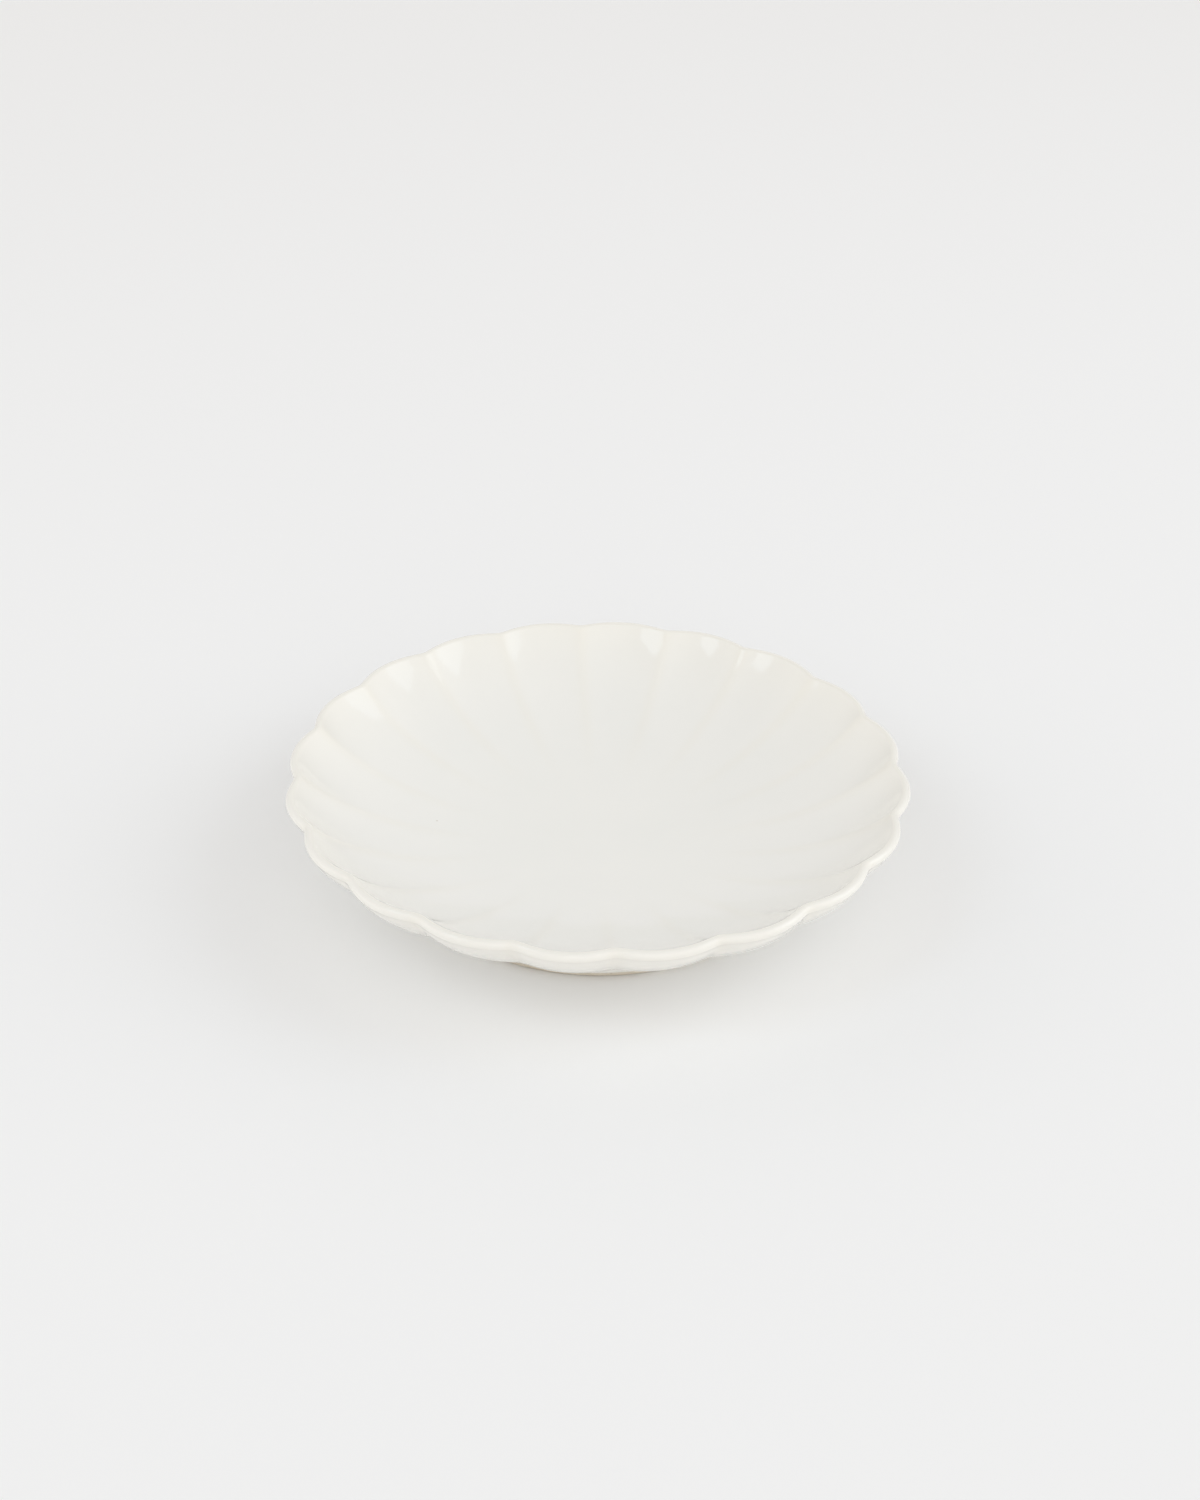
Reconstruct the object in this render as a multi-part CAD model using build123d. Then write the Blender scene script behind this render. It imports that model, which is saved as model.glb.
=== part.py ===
from build123d import *
from math import cos, hypot, pi, radians, sin, tan
import os

# Scalloped dessert plate: a fluted clay dish on a luted foot ring, under a coat of glaze.
# Millimetres. The table is at z = 0, the plate's axis is Z, and one lobe points along +X.

# Driving dimensions, over the glaze unless they say clay
PLATE_DIAMETER = 160.0        # over the tips of the lobes
LOBE_COUNT = 20
NOTCH_DEPTH = 2.7             # from the tips of the lobes in to the notches, at the rim
FACE_DEPTH = 22.6             # from the top of the lip down to the middle of the face
FLUTE_START_DIAMETER = 60.0   # where the ridges between the petals rise out of the smooth middle
LIP_THICKNESS = 2.6
LIP_ANGLE = 48.0              # how steeply the face comes up to the lip, in degrees
WALL_THICKNESS = 4.3
GLAZE = 0.3
GLAZE_POOL = 1.5              # how far the glaze pooled at the foot runs out along the dish and down the foot
FOOT_CLEARANCE = 2.4          # from the table up to the middle of the underside
FOOT_DIAMETER = 99.0          # outside of the foot ring at the table, in clay
FOOT_WIDTH = 4.4              # at the table, in clay
FOOT_DRAFT = 4.0              # how much each side of the foot leans out towards the dish, in degrees
FOOT_EDGE_ROUND = 1.1         # on both edges of the foot's standing face
BARE_FOOT_HEIGHT = 1.5        # how far above the table the glaze is wiped off

# Shape of the face's curve: a shallow bowl, and a curl that steepens it towards the lip
BOWL_POWER = 2.4
CURL_POWER = 10
# The wall keeps its thickness far out, and thins to the lip over the last stretch
THINNING_POWER = 20
# Shares of the face's radius at which the skins have a section
MIDDLE_SHARE = 0.15
FACE_SHARES = (MIDDLE_SHARE, 0.5, 0.75, 0.9, 1.0)
WALL_SHARES = (0.76, 0.9, 1.0)
WELL_SHARES = (MIDDLE_SHARE, 0.36)
# The crown of the lip, level between its inner and its outer rounding
LIP_CROWN = 0.4
NOSE_ANGLES = (0, 45)

# Derived places
RIM_RADIUS = PLATE_DIAMETER / 2
NOSE_RADIUS = LIP_THICKNESS / 2
FLOOR_HEIGHT = FOOT_CLEARANCE + WALL_THICKNESS
PLATE_HEIGHT = FLOOR_HEIGHT + FACE_DEPTH
NOSE_CENTRE = (RIM_RADIUS - NOSE_RADIUS, PLATE_HEIGHT - NOSE_RADIUS)
# The face runs into the rounded nose of the lip where both have the lip's angle
FACE_END = NOSE_CENTRE[0] - NOSE_RADIUS * sin(radians(LIP_ANGLE))
FACE_RISE = NOSE_CENTRE[1] + NOSE_RADIUS * cos(radians(LIP_ANGLE)) - FLOOR_HEIGHT
CURL_SHARE = (tan(radians(LIP_ANGLE)) * FACE_END / FACE_RISE - BOWL_POWER) / (CURL_POWER - BOWL_POWER)
FLUTE_START = FLUTE_START_DIAMETER / 2
FOOT_OUTSIDE = FOOT_DIAMETER / 2
FOOT_INSIDE = FOOT_OUTSIDE - FOOT_WIDTH
FOOT_LEAN = tan(radians(FOOT_DRAFT))


def face_height(radius):
    """Height of the glazed face along the middle of a petal."""
    share = radius / FACE_END
    bowl = (1 - CURL_SHARE) * share ** BOWL_POWER
    return FLOOR_HEIGHT + FACE_RISE * (bowl + CURL_SHARE * share ** CURL_POWER)


def face_slope(radius):
    share = radius / FACE_END
    bowl = (1 - CURL_SHARE) * BOWL_POWER * share ** (BOWL_POWER - 1)
    return FACE_RISE / FACE_END * (bowl + CURL_SHARE * CURL_POWER * share ** (CURL_POWER - 1))


def below_face(radius, depth):
    """The point at a depth square to the face, under the face's point at that radius."""
    slope = face_slope(radius)
    along = hypot(1, slope)
    return radius + depth * slope / along, face_height(radius) - depth / along


def on_face(share, inset):
    return below_face(share * FACE_END, inset)


def on_outside(share, inset):
    """The point of the outer skin across the wall from the face's point at that share."""
    thickness = WALL_THICKNESS - (WALL_THICKNESS - LIP_THICKNESS) * share ** THINNING_POWER
    return below_face(share * FACE_END, thickness - inset)


def on_nose(angle, inset):
    """A point on the lip's rounded nose, at an angle up from the level."""
    reach = NOSE_RADIUS - inset
    return NOSE_CENTRE[0] + reach * cos(radians(angle)), NOSE_CENTRE[1] + reach * sin(radians(angle))


def foot_outside(height, coat):
    return FOOT_OUTSIDE + height * FOOT_LEAN + coat


def foot_inside(height, coat):
    return FOOT_INSIDE - height * FOOT_LEAN - coat


def foot_seat(side, inset, clear=0.0):
    """The point where the outer skin meets a side of the foot, or a line clear of that side."""
    low, high = 0.0, 1.0
    for halving in range(40):
        share = (low + high) / 2
        radius, height = on_outside(share, inset)
        if radius < side(height, GLAZE - inset + clear):
            low = share
        else:
            high = share
    return on_outside(share, inset)


# The flutes of the outside run out where the pooled glaze begins
WALL_FLUTE_START = foot_seat(foot_outside, 0, GLAZE_POOL)[0]


def notch_at(radius, start):
    """How far the ridges stand in from the petals' middles: nothing at the start, all at the rim."""
    return NOTCH_DEPTH * max(0.0, (radius - start) / (RIM_RADIUS - start))


def scalloped(radius, height, notch=0.0):
    """A level section: one arc for each lobe, through its tip, from notch to notch."""
    half_pitch = pi / LOBE_COUNT
    arcs = []
    for lobe in range(LOBE_COUNT):
        middle = 2 * half_pitch * lobe
        ends = [middle - half_pitch, middle + half_pitch]
        start, end = [Vector((radius - notch) * cos(a), (radius - notch) * sin(a), height) for a in ends]
        tip = Vector(radius * cos(middle), radius * sin(middle), height)
        arcs.append(Edge.make_three_point_arc(start, tip, end))
    return Wire(arcs)


def skin(sections):
    """The sides of a loft through level sections, open at both ends."""
    sides = Solid.make_loft([scalloped(*section) for section in sections]).faces()
    return [side for side in sides if side.geom_type != GeomType.PLANE]


def skin_end(side, inset):
    """Where the outer skin stops at a side of the foot: the clay in the corner, the glaze at its pool."""
    return foot_seat(side, inset, 0.0 if inset else GLAZE_POOL)


def pool_sections(side):
    """The hollow curve of the pooled glaze, from the outer skin down to the side of the foot."""
    top = skin_end(side, 0)
    corner = foot_seat(side, 0)
    low = corner[1] - GLAZE_POOL
    bottom = (side(low, GLAZE), low)
    middle = tuple((a + 2 * b + c) / 4 for a, b, c in zip(top, corner, bottom))
    return [top, middle, bottom]


def face_skin(inset):
    """The fluted face, from the middle up to the lip, with its level middle."""
    sections = [(*on_face(s, inset), notch_at(s * FACE_END, FLUTE_START)) for s in FACE_SHARES]
    return [Face(scalloped(*sections[0]))] + skin(sections) + lip_inside(sections[-1], inset)


def lip_inside(wall_end, inset):
    crown_radius, crown_height = on_nose(90, inset)
    return skin([wall_end, (crown_radius - LIP_CROWN / 2, crown_height, NOTCH_DEPTH)])


def wall_skin(inset):
    """The fluted outside, from the foot up, round the lip's nose and over its crown."""
    wall = [skin_end(foot_outside, inset)]
    for share in WALL_SHARES:
        notch = notch_at(on_outside(share, 0)[0], WALL_FLUTE_START)
        wall.append((*on_outside(share, inset), notch))
    crown_radius, crown_height = on_nose(90, inset)
    nose = [wall[-1]] + [(*on_nose(angle, inset), NOTCH_DEPTH) for angle in NOSE_ANGLES]
    nose.append((crown_radius + LIP_CROWN / 2, crown_height, NOTCH_DEPTH))
    crown_inside = scalloped(crown_radius - LIP_CROWN / 2, crown_height, NOTCH_DEPTH)
    return skin(wall) + skin(nose) + [Face(scalloped(*nose[-1]), [crown_inside])]


def well_skin(inset):
    """The underside inside the foot, with its level middle."""
    sections = [on_outside(share, inset) for share in WELL_SHARES]
    sections.append(skin_end(foot_inside, inset))
    return [Face(scalloped(*sections[0]))] + skin(sections)


def foot_skin(side, coat):
    """One side of the foot, from where the glaze ends up to the dish, with the pool over the glaze."""
    glaze_edge = (side(BARE_FOOT_HEIGHT, coat), BARE_FOOT_HEIGHT)
    if not coat:
        return skin([glaze_edge, foot_seat(side, GLAZE)])
    pool = pool_sections(side)
    return skin(pool) + skin([glaze_edge, pool[-1]])


def glaze_end(side):
    """The level edge of the glaze round one side of the foot."""
    rings = sorted(side(BARE_FOOT_HEIGHT, coat) for coat in (0, GLAZE))
    inner, outer = [scalloped(radius, BARE_FOOT_HEIGHT) for radius in rings]
    return Face(outer, [inner])


def sewn(faces):
    return Solid(Shell(faces))


def dish():
    """The clay dish: its face, its outside and its underside, sewn into one solid."""
    seat = skin([foot_seat(foot_inside, GLAZE), foot_seat(foot_outside, GLAZE)])
    return sewn(face_skin(GLAZE) + wall_skin(GLAZE) + seat + well_skin(GLAZE))


def foot():
    """The clay foot ring: a tapered section turned round the axis and cut to the dish's underside."""
    # The blank ends inside the wall, above the seat's high side and below the face's low side
    top = (foot_seat(foot_outside, GLAZE)[1] + face_height(foot_seat(foot_inside, GLAZE)[0])) / 2
    corners = [(FOOT_INSIDE, 0), (FOOT_OUTSIDE, 0), (foot_outside(top, 0), top), (foot_inside(top, 0), top)]
    section = make_face(Plane.XZ * Polyline(*corners, close=True))
    standing_edges = section.vertices().group_by(Axis.Z)[0]
    return revolve(fillet(standing_edges, FOOT_EDGE_ROUND), Axis.Z) - dish_body


def coat():
    """The glaze over the face, the lip, the outside and the outer side of the foot."""
    faces = []
    for inset in (0, GLAZE):
        faces += face_skin(inset) + wall_skin(inset) + foot_skin(foot_outside, GLAZE - inset)
    return sewn(faces + [glaze_end(foot_outside)])


def well_glaze():
    """The patch of glaze inside the foot."""
    faces = []
    for inset in (0, GLAZE):
        faces += well_skin(inset) + foot_skin(foot_inside, GLAZE - inset)
    return sewn(faces + [glaze_end(foot_inside)])


dish_body = dish()
NODES = {
    "dish_body": dish_body,
    "foot_ring": foot(),
    "glaze_coat": coat(),
    "foot_well_glaze": well_glaze(),
}

os.makedirs("parts", exist_ok=True)
for name, piece in NODES.items():
    export_step(piece, f"parts/{name}.step")
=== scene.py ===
import math

import bmesh
import bpy
import numpy as np
from mathutils import Matrix, Vector


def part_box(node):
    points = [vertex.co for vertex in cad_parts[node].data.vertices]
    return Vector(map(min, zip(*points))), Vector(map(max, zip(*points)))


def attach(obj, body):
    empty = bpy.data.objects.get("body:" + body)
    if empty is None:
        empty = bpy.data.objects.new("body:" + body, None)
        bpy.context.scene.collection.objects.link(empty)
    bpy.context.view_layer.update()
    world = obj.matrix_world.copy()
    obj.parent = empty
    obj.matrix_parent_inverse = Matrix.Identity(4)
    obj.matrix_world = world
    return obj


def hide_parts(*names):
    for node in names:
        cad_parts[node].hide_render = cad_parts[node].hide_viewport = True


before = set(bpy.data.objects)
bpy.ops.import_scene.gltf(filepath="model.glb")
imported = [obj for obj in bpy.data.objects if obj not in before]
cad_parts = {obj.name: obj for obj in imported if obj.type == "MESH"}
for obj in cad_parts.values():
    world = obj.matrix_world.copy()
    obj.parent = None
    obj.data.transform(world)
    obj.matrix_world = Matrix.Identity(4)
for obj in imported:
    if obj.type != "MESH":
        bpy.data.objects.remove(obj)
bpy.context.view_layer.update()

# Metres. The table is at z = 0, the plate's axis is Z, and one lobe points along +X.
coat_low, coat_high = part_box("glaze_coat")

# Sizes of the plate
RIM_RADIUS = coat_high.x
PLATE_HEIGHT = coat_high.z
BARE_FOOT_HEIGHT = coat_low.z
LOBE_COUNT = 20
NOTCH_DEPTH = 0.0027
NOTCH_ROUND = 0.0030          # radius to which the glaze fills the corner of a notch
FACE_DEPTH = 0.0226
FLUTE_START = 0.030
FLUTE_FADE = 0.05             # share of the flutes' run over which the ridges fade in
FLUTE_RISE = 12               # how fast the outer flutes come in above the foot, per whole run of the wall
LIP_THICKNESS = 0.0026
LIP_ANGLE = math.radians(48)
WALL_THICKNESS = 0.0043
GLAZE = 0.0003
FOOT_OUTSIDE = 0.0495
FOOT_INSIDE = 0.0451
FOOT_LEAN = math.tan(math.radians(4))
FOOT_EDGE_ROUND = 0.0011
GLAZE_POOL = 0.0015           # how far the glaze pooled at the foot runs out along the dish and down the foot

# Shape of the face's curve
BOWL_POWER = 2.4
CURL_POWER = 10
THINNING_POWER = 20

# How far thinned the glaze looks, from 0 where it is thick to 1 where the clay warms it most; on the lip's
# crown it is also painted shade
LIP_THIN = 0.7                # on the lip, and coming in towards it on both sides of the wall
LIP_THIN_POWER = 8
CROWN_THIN_AND_SHADE = 0.3              # added on the lip's crown: partly thinner glaze, partly painted shade that dims the crown's lit top
CROWN_ANGLE = 1.9             # where round the lip that is strongest, in radians up from level
CROWN_SPREAD = 0.5
EDGE_THIN = 0.9               # where the glaze stops on the foot
RIDGE_THIN = 0.4              # added along the ridges between the petals
RIDGE_WIDTH = 0.0018
RIDGE_NOTCH = 0.0012          # depth of notch from which a ridge thins its glaze in full

# How far the hand-made plate strays from the true figure
STRAY_TURN = math.radians(0.45)
STRAY_RADIUS = 0.00035
STRAY_HEIGHT = 0.00018

# The waves round the plate that make it stray: how many, and the angle at which they start
TURN_WAVES = (3, 0.4), (5, 2.1), (7, 4.0), (9, 1.3), (11, 5.2)
RADIUS_WAVES = (2, 1.0), (3, 3.3), (5, 0.2), (8, 2.4), (13, 4.4)
HEIGHT_WAVES = (2, 0.3), (3, 5.0), (6, 1.9), (9, 3.1)

# Mesh steps and tolerances
STEPS_PER_LOBE = 24
FACE_STEPS = 72
NOSE_STEPS = 16
WALL_STEPS = 28
HIDDEN_STEPS = 14
COAT_RUN_STEPS = 12           # down the foot's outer side
WELL_RUN_STEPS = 10           # down its inner side
CLAY_RUN_STEPS = 4            # back up the clay under the glaze
POOL_STEPS = 8
GLAZE_END_STEPS = 6
RING_SEAT_STEPS = 6
RING_OUTSIDE_STEPS = 14
RING_INSIDE_STEPS = 12
RING_EDGE_STEPS = 8
HALVINGS = 40                 # in the search for where the foot meets the dish
ON_AXIS = 1e-7                # a point nearer to the axis than this is on it

# Colours of glaze and clay; a pair is mottled from the first to the second
THICK_GLAZE = (0.893, 0.887, 0.849), (0.905, 0.896, 0.857)
# Also used as the painted shade on the lip's crown
THIN_GLAZE_AND_SHADE = (0.884, 0.862, 0.796)
IRON_SPECK = (0.36, 0.27, 0.17)
CLAY = (0.70, 0.63, 0.52), (0.78, 0.72, 0.61)
GROG = (0.42, 0.33, 0.24)
SPECK_CORE = 0.4              # share of a speck's radius that has its full colour

NOSE_RADIUS = LIP_THICKNESS / 2
FLOOR_HEIGHT = PLATE_HEIGHT - FACE_DEPTH
NOSE_CENTRE = (RIM_RADIUS - NOSE_RADIUS, PLATE_HEIGHT - NOSE_RADIUS)
FACE_END = NOSE_CENTRE[0] - NOSE_RADIUS * math.sin(LIP_ANGLE)
FACE_RISE = NOSE_CENTRE[1] + NOSE_RADIUS * math.cos(LIP_ANGLE) - FLOOR_HEIGHT
CURL_SHARE = (math.tan(LIP_ANGLE) * FACE_END / FACE_RISE - BOWL_POWER) / (CURL_POWER - BOWL_POWER)
HALF_PITCH = math.pi / LOBE_COUNT


def face_height(radius):
    share = radius / FACE_END
    bowl = (1 - CURL_SHARE) * share ** BOWL_POWER
    return FLOOR_HEIGHT + FACE_RISE * (bowl + CURL_SHARE * share ** CURL_POWER)


def face_slope(radius):
    share = radius / FACE_END
    bowl = (1 - CURL_SHARE) * BOWL_POWER * share ** (BOWL_POWER - 1)
    return FACE_RISE / FACE_END * (bowl + CURL_SHARE * CURL_POWER * share ** (CURL_POWER - 1))


def below_face(radius, depth):
    """The point at a depth square to the face, under the face's point at that radius."""
    slope = face_slope(radius)
    along = np.hypot(1, slope)
    return radius + depth * slope / along, face_height(radius) - depth / along


def on_outside(share, inset):
    """The point of the outer skin, or of a line inside it, at a share of the way from the axis to the lip."""
    thickness = WALL_THICKNESS - (WALL_THICKNESS - LIP_THICKNESS) * share ** THINNING_POWER
    return below_face(share * FACE_END, thickness - inset)


def foot_outside(height, coat):
    return FOOT_OUTSIDE + height * FOOT_LEAN + coat


def foot_inside(height, coat):
    return FOOT_INSIDE - height * FOOT_LEAN - coat


def seat_share(side, inset, clear=0.0):
    """Where along the wall the outer skin meets a side of the foot, or a line clear of that side."""
    low, high = 0.0, 1.0
    for halving in range(HALVINGS):
        share = (low + high) / 2
        radius, height = on_outside(share, inset)
        if radius < side(height, GLAZE - inset + clear):
            low = share
        else:
            high = share
    return share


WALL_FLUTE_START = on_outside(seat_share(foot_outside, 0, GLAZE_POOL), 0)[0]


def notch_at(radius, start):
    """How far the ridges stand in from the petals' middles, fading in at the start."""
    share = (radius - start) / (RIM_RADIUS - start)
    return NOTCH_DEPTH * (share + np.hypot(share, FLUTE_FADE)) / 2


def line(radius, height, notch=0.0, thin_and_shade=0.0):
    """A table with a row for each point: its radius, height and notch, and how far its glaze is thinned,
    which on the lip's crown is also painted shade.
    """
    return np.stack(np.broadcast_arrays(radius, height, notch, thin_and_shade), axis=1).astype(float)


def thin_towards_lip(share):
    return LIP_THIN * share ** LIP_THIN_POWER


def face_line(inset, steps):
    share = np.linspace(0, 1, steps)
    radius = share * FACE_END
    return line(*below_face(radius, inset), notch_at(radius, FLUTE_START), thin_towards_lip(share))


def nose_line(inset, steps):
    """Round the lip, from the end of the face to the top of the outside."""
    first, last = math.pi / 2 + LIP_ANGLE, LIP_ANGLE - math.pi / 2
    angle = np.linspace(first, last, steps + 2)[1:-1]
    reach = NOSE_RADIUS - inset
    face_notch = notch_at(FACE_END, FLUTE_START)
    wall_notch = notch_at(on_outside(1.0, 0)[0], WALL_FLUTE_START)
    turns = [-first, -math.pi / 2, 0, -last]
    notch = np.interp(-angle, turns, [face_notch, NOTCH_DEPTH, NOTCH_DEPTH, wall_notch])
    # The crown takes more of the thin-glaze colour: partly thinner glaze, partly painted shade dimming its
    # lit top
    thin_and_shade = LIP_THIN + CROWN_THIN_AND_SHADE * np.exp(-((angle - CROWN_ANGLE) / CROWN_SPREAD) ** 2)
    return line(NOSE_CENTRE[0] + reach * np.cos(angle), NOSE_CENTRE[1] + reach * np.sin(angle), notch, thin_and_shade)


def outside_line(inset, first, last, steps):
    share = np.linspace(first, last, steps)
    notch = notch_at(on_outside(share, 0)[0], WALL_FLUTE_START)
    notch *= np.clip((share - seat_share(foot_outside, 0)) * FLUTE_RISE, 0, 1)
    return line(*on_outside(share, inset), notch, thin_towards_lip(share))


def foot_line(side, coat, first, last, steps):
    height = np.linspace(first, last, steps)
    return line(side(height, coat), height)


def bend(start, corner, end, steps):
    """A smooth turn from start to end, drawn towards the corner."""
    share = np.linspace(0, 1, steps)[:, None]
    return start * (1 - share) ** 2 + 2 * corner * share * (1 - share) + end * share ** 2


def glazed_seat(side, wall, run):
    """Joins a line of the wall to the foot's side, with the glaze pooled in the corner between them."""
    corner = line(*on_outside(np.array([seat_share(side, 0)]), 0))[0]
    away = np.hypot(wall[:, 0] - corner[0], wall[:, 1] - corner[1])
    wall = wall[away > GLAZE_POOL]
    run = run[corner[1] - run[:, 1] > GLAZE_POOL]
    return np.vstack([wall, bend(wall[-1], corner, run[0], POOL_STEPS)[1:-1], run])


def glaze_end(side):
    """The rounded edge where the glaze stops on the foot."""
    turn = np.linspace(0, math.pi / 2, GLAZE_END_STEPS)
    height = BARE_FOOT_HEIGHT + GLAZE * (1 - np.sin(turn))
    return line(side(height, GLAZE * np.cos(turn)), height, 0.0, EDGE_THIN)


def down_foot(side, wall, steps):
    """Carries a line of the wall down a side of the foot, round the glaze's end and back up the clay."""
    seat_height = on_outside(seat_share(side, 0), 0)[1]
    clay_height = on_outside(seat_share(side, GLAZE), GLAZE)[1]
    run = foot_line(side, GLAZE, seat_height, BARE_FOOT_HEIGHT + GLAZE, steps)
    back = foot_line(side, 0, BARE_FOOT_HEIGHT, clay_height, CLAY_RUN_STEPS)
    return np.vstack([glazed_seat(side, wall, run), glaze_end(side)[1:], back[1:]])


def coat_line():
    """The closed outline of the glaze from the middle of the face to the foot, and back along the clay."""
    wall = np.vstack([
        face_line(0, FACE_STEPS),
        nose_line(0, NOSE_STEPS),
        outside_line(0, 1, seat_share(foot_outside, 0), WALL_STEPS),
    ])
    return np.vstack([
        down_foot(foot_outside, wall, COAT_RUN_STEPS),
        outside_line(GLAZE, seat_share(foot_outside, GLAZE), 1, HIDDEN_STEPS)[1:],
        nose_line(GLAZE, NOSE_STEPS // 2)[::-1],
        face_line(GLAZE, HIDDEN_STEPS)[::-1],
    ])


def well_line():
    """The closed outline of the patch of glaze inside the foot."""
    wall = outside_line(0, 0, seat_share(foot_inside, 0), WALL_STEPS)
    return np.vstack([
        down_foot(foot_inside, wall, WELL_RUN_STEPS),
        outside_line(GLAZE, seat_share(foot_inside, GLAZE), 0, HIDDEN_STEPS)[1:],
    ])


def dish_line():
    """The clay dish under the glaze."""
    return np.vstack([
        face_line(GLAZE, HIDDEN_STEPS),
        nose_line(GLAZE, NOSE_STEPS // 2),
        outside_line(GLAZE, 1, 0, HIDDEN_STEPS * 2),
    ])


def ring_line():
    """The foot's section, closed: seat, outer side, standing face with rounded edges, inner side."""
    outer_seat = seat_share(foot_outside, GLAZE)
    inner_seat = seat_share(foot_inside, GLAZE)
    outer_height = on_outside(outer_seat, GLAZE)[1]
    inner_height = on_outside(inner_seat, GLAZE)[1]
    turn = np.linspace(0, math.pi / 2, RING_EDGE_STEPS)
    edge_height = FOOT_EDGE_ROUND * (1 - np.sin(turn))
    tuck = FOOT_EDGE_ROUND * (1 - np.cos(turn))
    return np.vstack([
        outside_line(GLAZE, inner_seat, outer_seat, RING_SEAT_STEPS),
        foot_line(foot_outside, 0, outer_height, FOOT_EDGE_ROUND, RING_OUTSIDE_STEPS)[1:-1],
        line(foot_outside(edge_height, 0) - tuck, edge_height),
        line(foot_inside(edge_height, 0) + tuck, edge_height)[::-1],
        foot_line(foot_inside, 0, FOOT_EDGE_ROUND, inner_height, RING_INSIDE_STEPS)[1:-1],
    ])


def stray(angle, waves):
    """A slow wander round the plate, between -1 and 1."""
    total = sum(np.sin(count * angle + start) / count ** 0.5 for count, start in waves)
    return total / sum(1 / count ** 0.5 for count, start in waves)


def lobed(tip, notch, angle):
    """Radius at an angle of a ring of lobes: an arc for each lobe, with the notches between them rounded.

    The second value is the angle from the middle of the nearest lobe.
    """
    low = tip - notch
    centre = (tip ** 2 - low ** 2) / (2 * (tip - low * math.cos(HALF_PITCH)))
    sweep = tip - centre
    within = (angle + HALF_PITCH) % (2 * HALF_PITCH) - HALF_PITCH

    def arc(offset):
        return centre * np.cos(offset) + np.sqrt(np.maximum(sweep ** 2 - (centre * np.sin(offset)) ** 2, 0))

    own = arc(within)
    neighbour = arc(2 * HALF_PITCH - np.abs(within))
    steepness = 2 * notch / (tip * HALF_PITCH)
    fill = 2 * NOTCH_ROUND * steepness ** 2
    return (own + neighbour + np.hypot(own - neighbour, fill)) / 2, np.abs(within)


def stitched(rings, count, closed):
    """The faces between each ring of points and the next, and from the last to the first if it closes."""
    faces = []
    for lower, upper in zip(rings, rings[1:] + ([rings[0]] if closed else [])):
        for step in range(count):
            ahead = (step + 1) % count
            corners = [lower[step % len(lower)], lower[ahead % len(lower)]]
            corners += [upper[ahead % len(upper)], upper[step % len(upper)]]
            faces.append(list(dict.fromkeys(corners)))
    return [face for face in faces if len(face) > 2]


def solid(name, points, faces, thinness_and_shade):
    """A smooth object with its faces turned outwards and how far its glaze is thinned, with the painted shade
    on the lip's crown, as an attribute.
    """
    mesh = bpy.data.meshes.new(name)
    mesh.from_pydata(points, [], faces)
    mesh.attributes.new("thin_and_shade", "FLOAT", "POINT").data.foreach_set("value", thinness_and_shade)
    shell = bmesh.new()
    shell.from_mesh(mesh)
    bmesh.ops.recalc_face_normals(shell, faces=shell.faces)
    shell.to_mesh(mesh)
    shell.free()
    mesh.shade_smooth()
    piece = bpy.data.objects.new(name, mesh)
    bpy.context.scene.collection.objects.link(piece)
    return piece


def spin(name, outline, closed):
    """Turns an outline round the axis, with the lobes, into a solid with the glaze's thinning, and the
    painted shade on the lip's crown, at each point.
    """
    count = LOBE_COUNT * STEPS_PER_LOBE
    angle = np.arange(count) * 2 * math.pi / count
    turned = angle + STRAY_TURN * stray(angle, TURN_WAVES)
    inward = STRAY_RADIUS * (1 + stray(angle, RADIUS_WAVES)) / 2
    downward = STRAY_HEIGHT * (1 + stray(angle, HEIGHT_WAVES)) / 2
    points, thinness_and_shade, rings = [], [], []
    for radius, height, notch, thin_and_shade in outline:
        if radius < ON_AXIS:
            rings.append([len(points)])
            points.append((0.0, 0.0, height))
            thinness_and_shade.append(thin_and_shade)
            continue
        reach, within = lobed(radius, notch, turned)
        share = max(0.0, (radius - FLUTE_START) / (RIM_RADIUS - FLUTE_START))
        outward = reach - inward * share
        level = height - downward * (height / PLATE_HEIGHT) ** 2
        across = (HALF_PITCH - within) * radius / RIDGE_WIDTH
        ridge = np.exp(-across ** 2) * min(1.0, notch / RIDGE_NOTCH)
        rings.append(range(len(points), len(points) + count))
        points.extend(zip(outward * np.cos(angle), outward * np.sin(angle), level))
        thinness_and_shade.extend(np.minimum(1, thin_and_shade + RIDGE_THIN * ridge))
    return solid(name, points, stitched(rings, count, closed), thinness_and_shade)


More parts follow.
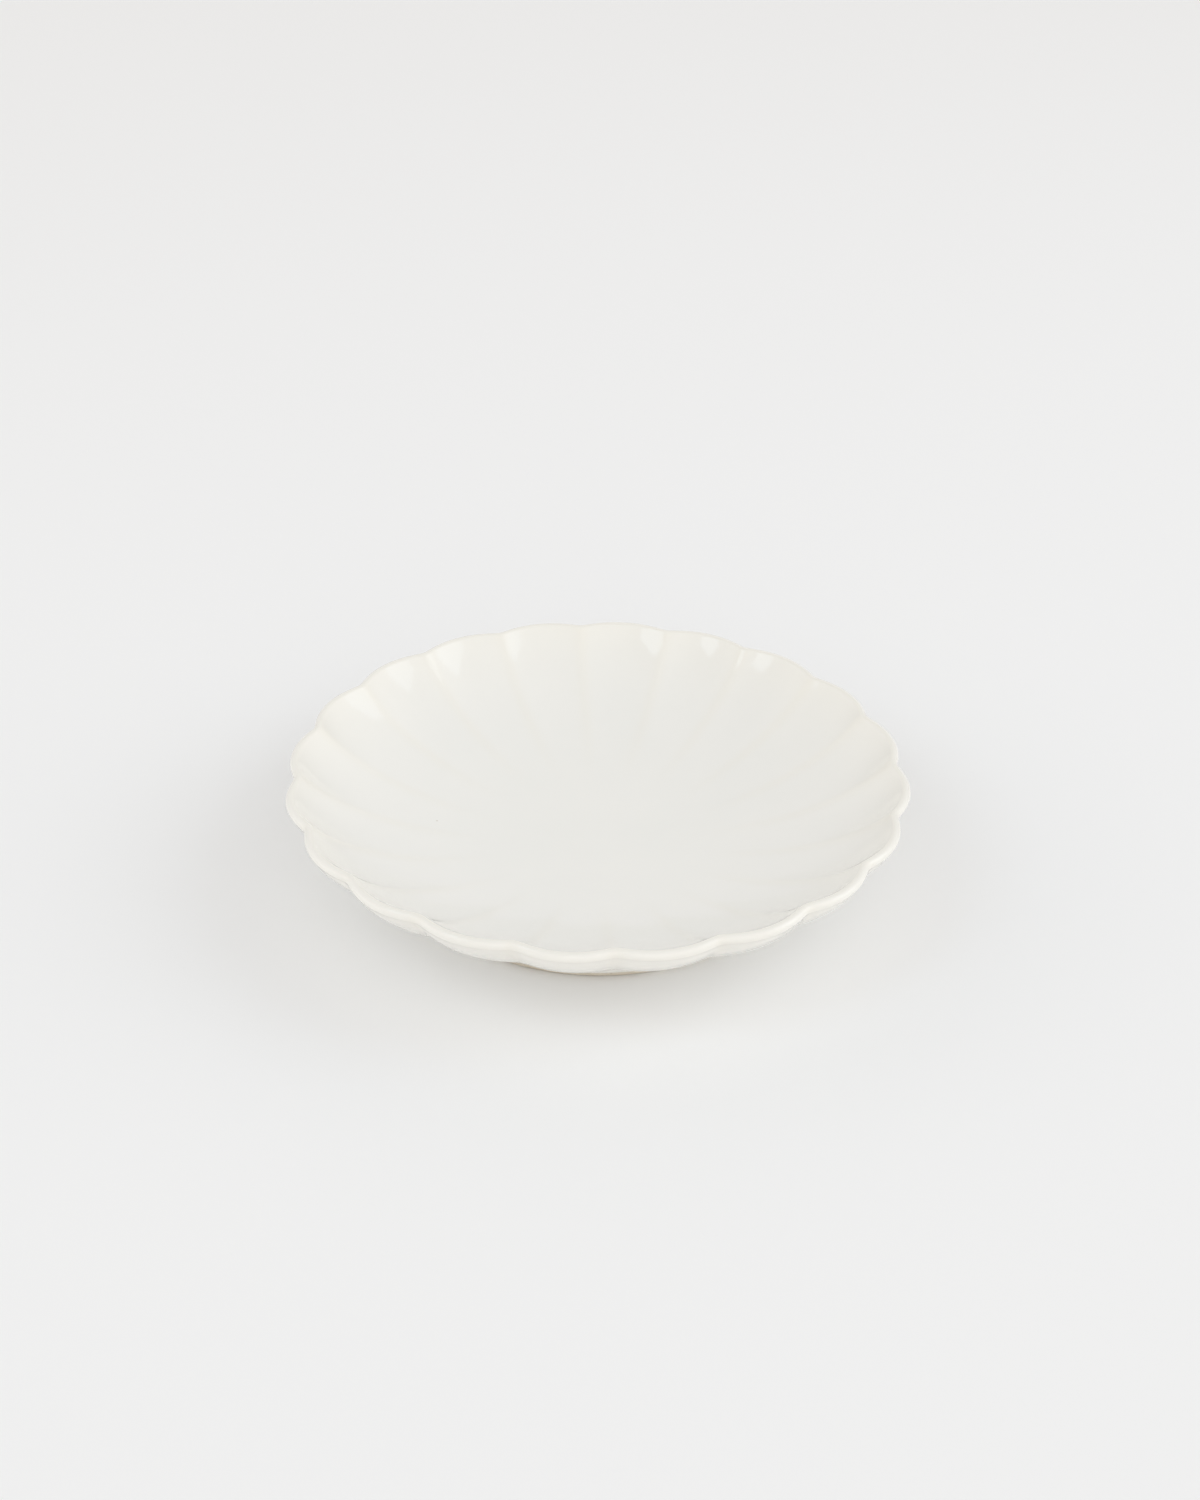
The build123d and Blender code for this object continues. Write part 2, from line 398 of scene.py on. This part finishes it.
class Nodes:
    """A node tree, with one short call for each kind of node that the materials and the room need."""

    def __init__(self, owner, shader="Principled BSDF", place="Object"):
        owner.use_nodes = True
        self.tree = owner.node_tree
        self.surface = self.tree.nodes[shader]
        self.place = self.tree.nodes.new("ShaderNodeTexCoord").outputs[place]

    def link(self, source, target):
        self.tree.links.new(source, target)

    def feed(self, socket, source):
        """Links a source to a socket of the surface."""
        self.link(source, self.surface.inputs[socket])

    def set(self, socket, value):
        """Gives a socket of the surface a constant value."""
        self.surface.inputs[socket].default_value = value

    def noise(self, scale, detail):
        node = self.tree.nodes.new("ShaderNodeTexNoise")
        node.inputs["Scale"].default_value = scale
        node.inputs["Detail"].default_value = detail
        self.link(self.place, node.inputs["Vector"])
        return node.outputs["Fac"]

    def attribute(self, name):
        node = self.tree.nodes.new("ShaderNodeAttribute")
        node.attribute_name = name
        return node.outputs["Fac"]

    def remap(self, value, low, high, to_low=0.0, to_high=1.0):
        node = self.tree.nodes.new("ShaderNodeMapRange")
        sockets = "From Min", "From Max", "To Min", "To Max"
        for socket, number in zip(sockets, (low, high, to_low, to_high)):
            node.inputs[socket].default_value = number
        self.link(value, node.inputs["Value"])
        return node.outputs["Result"]

    def math(self, operation, first, second=0.0):
        node = self.tree.nodes.new("ShaderNodeMath")
        node.operation = operation
        for socket, value in zip(node.inputs, (first, second)):
            if isinstance(value, (int, float)):
                socket.default_value = value
            else:
                self.link(value, socket)
        return node.outputs["Value"]

    def blend(self, factor, first, second):
        node = self.tree.nodes.new("ShaderNodeMix")
        node.data_type = "RGBA"
        self.link(factor, node.inputs[0])
        for socket, value in ((node.inputs[6], first), (node.inputs[7], second)):
            if isinstance(value, tuple):
                socket.default_value = (*value, 1)
            else:
                self.link(value, socket)
        return node.outputs[2]

    def specks(self, scale, size, share, strength):
        """The strength in a few small round specks, 0 elsewhere."""
        node = self.tree.nodes.new("ShaderNodeTexVoronoi")
        node.inputs["Scale"].default_value = scale
        self.link(self.place, node.inputs["Vector"])
        near = self.remap(node.outputs["Distance"], size * scale, SPECK_CORE * size * scale)
        split = self.tree.nodes.new("ShaderNodeSeparateColor")
        self.link(node.outputs["Color"], split.inputs["Color"])
        chosen = self.math("LESS_THAN", split.outputs["Red"], share)
        return self.math("MULTIPLY", self.math("MULTIPLY", near, chosen), strength)

    def facing(self, direction):
        """How squarely the place lies along a direction: 1 where it does, -1 opposite."""
        node = self.tree.nodes.new("ShaderNodeVectorMath")
        node.operation = "DOT_PRODUCT"
        self.link(self.place, node.inputs[0])
        node.inputs[1].default_value = direction
        return node.outputs["Value"]

    def bump(self, height, distance):
        node = self.tree.nodes.new("ShaderNodeBump")
        node.inputs["Strength"].default_value = 1.0
        node.inputs["Distance"].default_value = distance
        self.link(height, node.inputs["Height"])
        self.feed("Normal", node.outputs["Normal"])


def glaze_material(name):
    """Glossy ivory glaze, warmer where it thins over ridges and lip, with painted shade on the lip's crown,
    and a few iron specks.
    """
    material = bpy.data.materials.new(name)
    nodes = Nodes(material)
    mottle = nodes.remap(nodes.noise(scale=45, detail=3), low=0.35, high=0.65)
    # The thin-glaze colour also paints shade on the lip's crown
    glazed = nodes.blend(nodes.attribute("thin_and_shade"), nodes.blend(mottle, *THICK_GLAZE), THIN_GLAZE_AND_SHADE)
    specks = nodes.specks(scale=70, size=0.00035, share=0.10, strength=0.35)
    gloss = nodes.remap(nodes.noise(scale=120, detail=2), low=0.3, high=0.7, to_low=0.055, to_high=0.085)
    nodes.feed("Base Color", nodes.blend(specks, glazed, IRON_SPECK))
    nodes.feed("Roughness", gloss)
    nodes.set("IOR", 1.5)
    nodes.set("Specular IOR Level", 0.5)
    nodes.bump(nodes.noise(scale=70, detail=2), distance=0.00005)
    return material


def clay_material(name):
    """Bare fired clay: buff, matt and finely grained, with darker grog."""
    material = bpy.data.materials.new(name)
    nodes = Nodes(material)
    grain = nodes.noise(scale=900, detail=4)
    mottle = nodes.remap(nodes.noise(scale=60, detail=3), low=0.35, high=0.65)
    grog = nodes.specks(scale=600, size=0.0003, share=0.25, strength=0.4)
    nodes.feed("Base Color", nodes.blend(grog, nodes.blend(mottle, *CLAY), GROG))
    nodes.feed("Roughness", nodes.remap(grain, low=0.3, high=0.7, to_low=0.78, to_high=0.92))
    nodes.bump(grain, distance=0.00006)
    return material


# For each piece: the node it shows, its outline, whether that is a loop clear of the axis, its slot and its
# material
PIECES = (
    ("glaze_coat", coat_line(), False, "glaze", glaze_material),
    ("foot_well_glaze", well_line(), False, "well_glaze", glaze_material),
    ("dish_body", dish_line(), False, "clay", clay_material),
    ("foot_ring", ring_line(), True, "foot_clay", clay_material),
)
for node, outline, closed, slot, make_material in PIECES:
    piece = spin("shown_" + node, outline, closed)
    piece.data.materials.append(make_material(slot))
    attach(piece, "root")
    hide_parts(node)

# The stage: a pale table in a pale room, with a wide window on the right and a narrow one behind on the left.
# Directions are in degrees: a turn from the camera's right by way of what lies beyond the plate, and a rise.
TABLE_SIZE = 40
TABLE_COLOURS = (0.918, 0.918, 0.916), (0.926, 0.926, 0.924)
WINDOW_DISTANCE = 1.5

# The windows let in cool daylight, and the room is a little warmer
WINDOW_COLOUR = (0.72, 0.86, 1.0)
ROOM_COLOUR = (1.002, 0.985, 0.967)

# Brightness of the walls every eighth of a turn, of their lower edge every quarter, of the wall high behind
# the camera, and of the ceiling
WALLS = (0.72, 0.69, 0.38, 0.72, 0.48, 0.66, 0.68, 0.79)
LOWER_WALLS = (1.30, 0.60, 1.30, 0.55)
UPPER_WALL = 0.52
CEILING = 0.32

# The camera, as fitted to the photo. It aims at a place at rim height, a little right of the plate's axis
# and beyond it.
CAMERA_TURN = math.radians(5.19)
CAMERA_RISE = math.radians(31.78)
CAMERA_ROLL = math.radians(0.82)
CAMERA_DISTANCE = 0.5650
AIM_RIGHT = 0.00043
AIM_BEYOND = 0.00868
LENS = 52.18                  # millimetres, as is the sensor
SENSOR = 36
NEAREST, FARTHEST = 0.01, 50


def from_camera(right, away, up):
    """A direction or place given along the camera's right, away from it and up, in the plate's frame."""
    return Matrix.Rotation(CAMERA_TURN, 3, "Z") @ Vector((right, away, up))


def bearing(turn, rise):
    turn, rise = math.radians(turn), math.radians(rise)
    return from_camera(math.cos(turn) * math.cos(rise), math.sin(turn) * math.cos(rise), math.sin(rise))


def table():
    bpy.ops.mesh.primitive_plane_add(size=TABLE_SIZE)
    plane = bpy.context.object
    plane.name = "table"
    material = bpy.data.materials.new("table")
    nodes = Nodes(material)
    nodes.feed("Base Color", nodes.blend(nodes.noise(scale=3, detail=2), *TABLE_COLOURS))
    nodes.set("Roughness", 0.8)
    nodes.set("Specular IOR Level", 0.2)
    plane.data.materials.append(material)


def window(name, turn, rise, width, height, radiance):
    data = bpy.data.lights.new(name, "AREA")
    data.shape = "RECTANGLE"
    data.color = WINDOW_COLOUR
    data.size, data.size_y = width, height
    data.energy = radiance * math.pi * width * height
    lamp = bpy.data.objects.new(name, data)
    towards = bearing(turn, rise)
    lamp.location = towards * WINDOW_DISTANCE
    lamp.rotation_euler = towards.to_track_quat("Z", "Y").to_euler()
    bpy.context.scene.collection.objects.link(lamp)


def patch(nodes, turn, rise, tightness, brightness):
    """A soft patch of light round a direction."""
    off_middle = nodes.math("SUBTRACT", nodes.facing(bearing(turn, rise)), 1.0)
    falloff = nodes.math("EXPONENT", nodes.math("MULTIPLY", off_middle, tightness))
    return nodes.math("MULTIPLY", falloff, brightness)


def patches_round(nodes, rise, tightness, brightnesses):
    """Patches spread evenly round the room at one rise, the first on the camera's right."""
    step = 360 / len(brightnesses)
    return [patch(nodes, step * index, rise, tightness, each) for index, each in enumerate(brightnesses)]


def room():
    """The room as a glow from all round, summed from its soft patches of light."""
    world = bpy.data.worlds.new("room")
    nodes = Nodes(world, "Background", "Generated")
    patches = patches_round(nodes, rise=28, tightness=8, brightnesses=WALLS)
    patches += patches_round(nodes, rise=4, tightness=9, brightnesses=LOWER_WALLS)
    patches.append(patch(nodes, turn=270, rise=55, tightness=8, brightness=UPPER_WALL))
    patches.append(patch(nodes, turn=0, rise=90, tightness=6, brightness=CEILING))
    glow = 0.0
    for light in patches:
        glow = nodes.math("ADD", light, glow)
    nodes.set("Color", (*ROOM_COLOUR, 1))
    nodes.feed("Strength", glow)
    bpy.context.scene.world = world


def camera():
    data = bpy.data.cameras.new("camera")
    data.lens = LENS
    data.sensor_width = SENSOR
    data.clip_start, data.clip_end = NEAREST, FARTHEST
    aim = from_camera(AIM_RIGHT, AIM_BEYOND, PLATE_HEIGHT)
    back = from_camera(0, -math.cos(CAMERA_RISE), math.sin(CAMERA_RISE))
    level = from_camera(1, 0, 0)
    upright = back.cross(level)
    right = level * math.cos(CAMERA_ROLL) + upright * math.sin(CAMERA_ROLL)
    up = upright * math.cos(CAMERA_ROLL) - level * math.sin(CAMERA_ROLL)
    body = bpy.data.objects.new("camera", data)
    facing = Matrix((right, up, back)).transposed().to_4x4()
    body.matrix_world = Matrix.Translation(aim + back * CAMERA_DISTANCE) @ facing
    bpy.context.scene.collection.objects.link(body)
    bpy.context.scene.camera = body


table()
window("window_right", turn=0, rise=38, width=0.70, height=0.95, radiance=1.05)
window("window_left", turn=207, rise=48, width=0.45, height=0.70, radiance=1.55)
room()
camera()
bpy.context.scene.view_settings.view_transform = "Standard"
